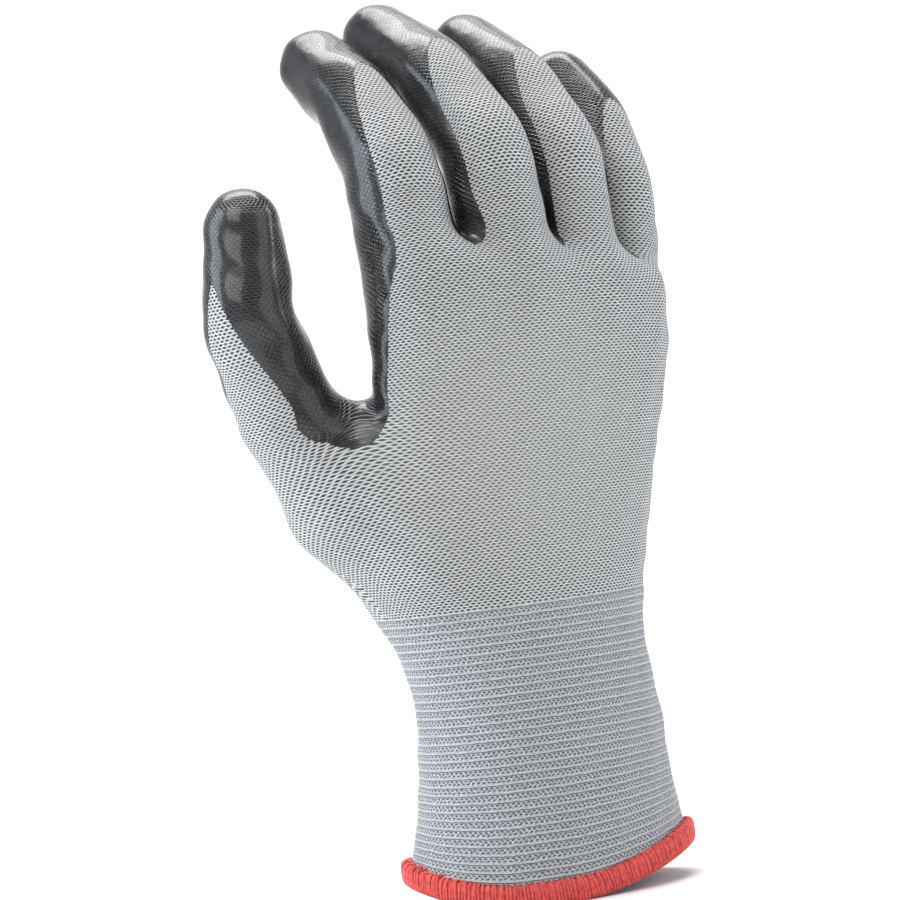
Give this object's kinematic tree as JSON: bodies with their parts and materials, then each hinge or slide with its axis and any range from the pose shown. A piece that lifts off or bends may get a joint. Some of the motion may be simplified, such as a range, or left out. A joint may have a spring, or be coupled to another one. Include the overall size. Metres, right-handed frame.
{
  "type": "work glove",
  "caption": "Right-hand knitted work glove with a dipped palm and fingertips, a ribbed elastic cuff, a red overlocked hem and fingers and thumb that bend.",
  "frame": {"origin": "centre of the hand opening, in the plane the hem stands on", "axes": "+Z from the hem to the fingertips, -Y the back of the hand, +Y the palm, -X the thumb side"},
  "size_m": [0.1295, 0.0752, 0.2247],
  "materials": {
    "nylon_knit": "light grey seamless nylon knit",
    "rib_knit": "light grey ribbed knit",
    "nitrile_coating": "black dipped nitrile, satin with glossy patches",
    "overlock_thread": "red polyester overlock stitching",
    "needle_thread": "red sewing thread",
    "elastic_yarn": "pale covered elastic yarn"
  },
  "bodies": {
    "cuff": {"cuff_rib_knit": "rib_knit", "cuff_elastic_yarns": "elastic_yarn", "hem_overlock_wrap": "overlock_thread", "hem_needle_thread": "needle_thread"},
    "palm": {"palm_liner": "nylon_knit", "palm_coating": "nitrile_coating"},
    "knuckles": {"knuckle_liner": "nylon_knit", "knuckle_coating": "nitrile_coating"},
    "index_base": {"index_base_liner": "nylon_knit", "index_base_coating": "nitrile_coating"},
    "index_mid": {"index_mid_liner": "nylon_knit", "index_mid_coating": "nitrile_coating"},
    "index_tip": {"index_tip_liner": "nylon_knit", "index_tip_coating": "nitrile_coating"},
    "middle_base": {"middle_base_liner": "nylon_knit", "middle_base_coating": "nitrile_coating"},
    "middle_mid": {"middle_mid_liner": "nylon_knit", "middle_mid_coating": "nitrile_coating"},
    "middle_tip": {"middle_tip_liner": "nylon_knit", "middle_tip_coating": "nitrile_coating"},
    "ring_base": {"ring_base_liner": "nylon_knit", "ring_base_coating": "nitrile_coating"},
    "ring_mid": {"ring_mid_liner": "nylon_knit", "ring_mid_coating": "nitrile_coating"},
    "ring_tip": {"ring_tip_liner": "nylon_knit", "ring_tip_coating": "nitrile_coating"},
    "little_base": {"little_base_liner": "nylon_knit", "little_base_coating": "nitrile_coating"},
    "little_mid": {"little_mid_liner": "nylon_knit", "little_mid_coating": "nitrile_coating"},
    "little_tip": {"little_tip_liner": "nylon_knit", "little_tip_coating": "nitrile_coating"},
    "thumb_base": {"thumb_base_liner": "nylon_knit", "thumb_base_coating": "nitrile_coating"},
    "thumb_tip": {"thumb_tip_liner": "nylon_knit", "thumb_tip_coating": "nitrile_coating"}
  },
  "joints": [
    {"name": "wrist_fold", "type": "hinge", "parent": "cuff", "child": "palm", "pos_m": [0.002, 0, 0.052], "axis": [-1, 0, 0], "range_deg": [-30, 35], "stiffness_Nm_per_rad": 0.6},
    {"name": "knuckle_fold", "type": "hinge", "parent": "palm", "child": "knuckles", "pos_m": [0.008, -0.0114, 0.139], "axis": [-0.9903, 0, 0.1392], "range_deg": [-15, 30], "stiffness_Nm_per_rad": 0.15},
    {"name": "index_root_bend", "type": "hinge", "parent": "knuckles", "child": "index_base", "pos_m": [-0.02216, -0.00428, 0.16524], "axis": [-0.9964, 0.0522, 0.0662], "range_deg": [-10, 30], "stiffness_Nm_per_rad": 0.03},
    {"name": "index_mid_bend", "type": "hinge", "parent": "index_base", "child": "index_mid", "pos_m": [-0.02093, -0.00047, 0.18073], "axis": [-0.9964, 0.0522, 0.0662], "range_deg": [-30, 45], "stiffness_Nm_per_rad": 0.02},
    {"name": "index_tip_bend", "type": "hinge", "parent": "index_mid", "child": "index_tip", "pos_m": [-0.01892, 0.01493, 0.19876], "axis": [-0.9964, 0.0522, 0.0662], "range_deg": [-16, 30], "stiffness_Nm_per_rad": 0.015},
    {"name": "middle_root_bend", "type": "hinge", "parent": "knuckles", "child": "middle_base", "pos_m": [0.00148, -0.01134, 0.1655], "axis": [-0.998, 0, 0.0628], "range_deg": [-10, 30], "stiffness_Nm_per_rad": 0.03},
    {"name": "middle_mid_bend", "type": "hinge", "parent": "middle_base", "child": "middle_mid", "pos_m": [0.00256, -0.00794, 0.18263], "axis": [-0.998, 0, 0.0628], "range_deg": [-30, 45], "stiffness_Nm_per_rad": 0.02},
    {"name": "middle_tip_bend", "type": "hinge", "parent": "middle_mid", "child": "middle_tip", "pos_m": [0.0038, 0.01186, 0.20239], "axis": [-0.998, 0, 0.0628], "range_deg": [-16, 30], "stiffness_Nm_per_rad": 0.015},
    {"name": "ring_root_bend", "type": "hinge", "parent": "knuckles", "child": "ring_base", "pos_m": [0.02391, -0.00969, 0.16307], "axis": [-0.993, -0.052, 0.1061], "range_deg": [-10, 30], "stiffness_Nm_per_rad": 0.03},
    {"name": "ring_mid_bend", "type": "hinge", "parent": "ring_base", "child": "ring_mid", "pos_m": [0.02559, -0.00685, 0.18015], "axis": [-0.993, -0.052, 0.1061], "range_deg": [-30, 45], "stiffness_Nm_per_rad": 0.02},
    {"name": "ring_tip_bend", "type": "hinge", "parent": "ring_mid", "child": "ring_tip", "pos_m": [0.02674, 0.0096, 0.19895], "axis": [-0.993, -0.052, 0.1061], "range_deg": [-16, 30], "stiffness_Nm_per_rad": 0.015},
    {"name": "little_root_bend", "type": "hinge", "parent": "knuckles", "child": "little_base", "pos_m": [0.04441, -0.00055, 0.15675], "axis": [-0.985, -0.1035, 0.1384], "range_deg": [-10, 30], "stiffness_Nm_per_rad": 0.03},
    {"name": "little_mid_bend", "type": "hinge", "parent": "little_base", "child": "little_mid", "pos_m": [0.04641, 0.00023, 0.1716], "axis": [-0.985, -0.1035, 0.1384], "range_deg": [-30, 45], "stiffness_Nm_per_rad": 0.02},
    {"name": "little_tip_bend", "type": "hinge", "parent": "little_mid", "child": "little_tip", "pos_m": [0.04782, 0.0079, 0.18737], "axis": [-0.985, -0.1035, 0.1384], "range_deg": [-16, 30], "stiffness_Nm_per_rad": 0.015},
    {"name": "thumb_root_bend", "type": "hinge", "parent": "palm", "child": "thumb_base", "pos_m": [-0.05514, 0.01, 0.12871], "axis": [-0.7464, 0.6204, -0.2407], "range_deg": [-15, 16], "stiffness_Nm_per_rad": 0.03},
    {"name": "thumb_mid_bend", "type": "hinge", "parent": "thumb_base", "child": "thumb_tip", "pos_m": [-0.0612, 0.01, 0.1475], "axis": [-0.7464, 0.6204, -0.2407], "range_deg": [-15, 30], "stiffness_Nm_per_rad": 0.02}
  ]
}
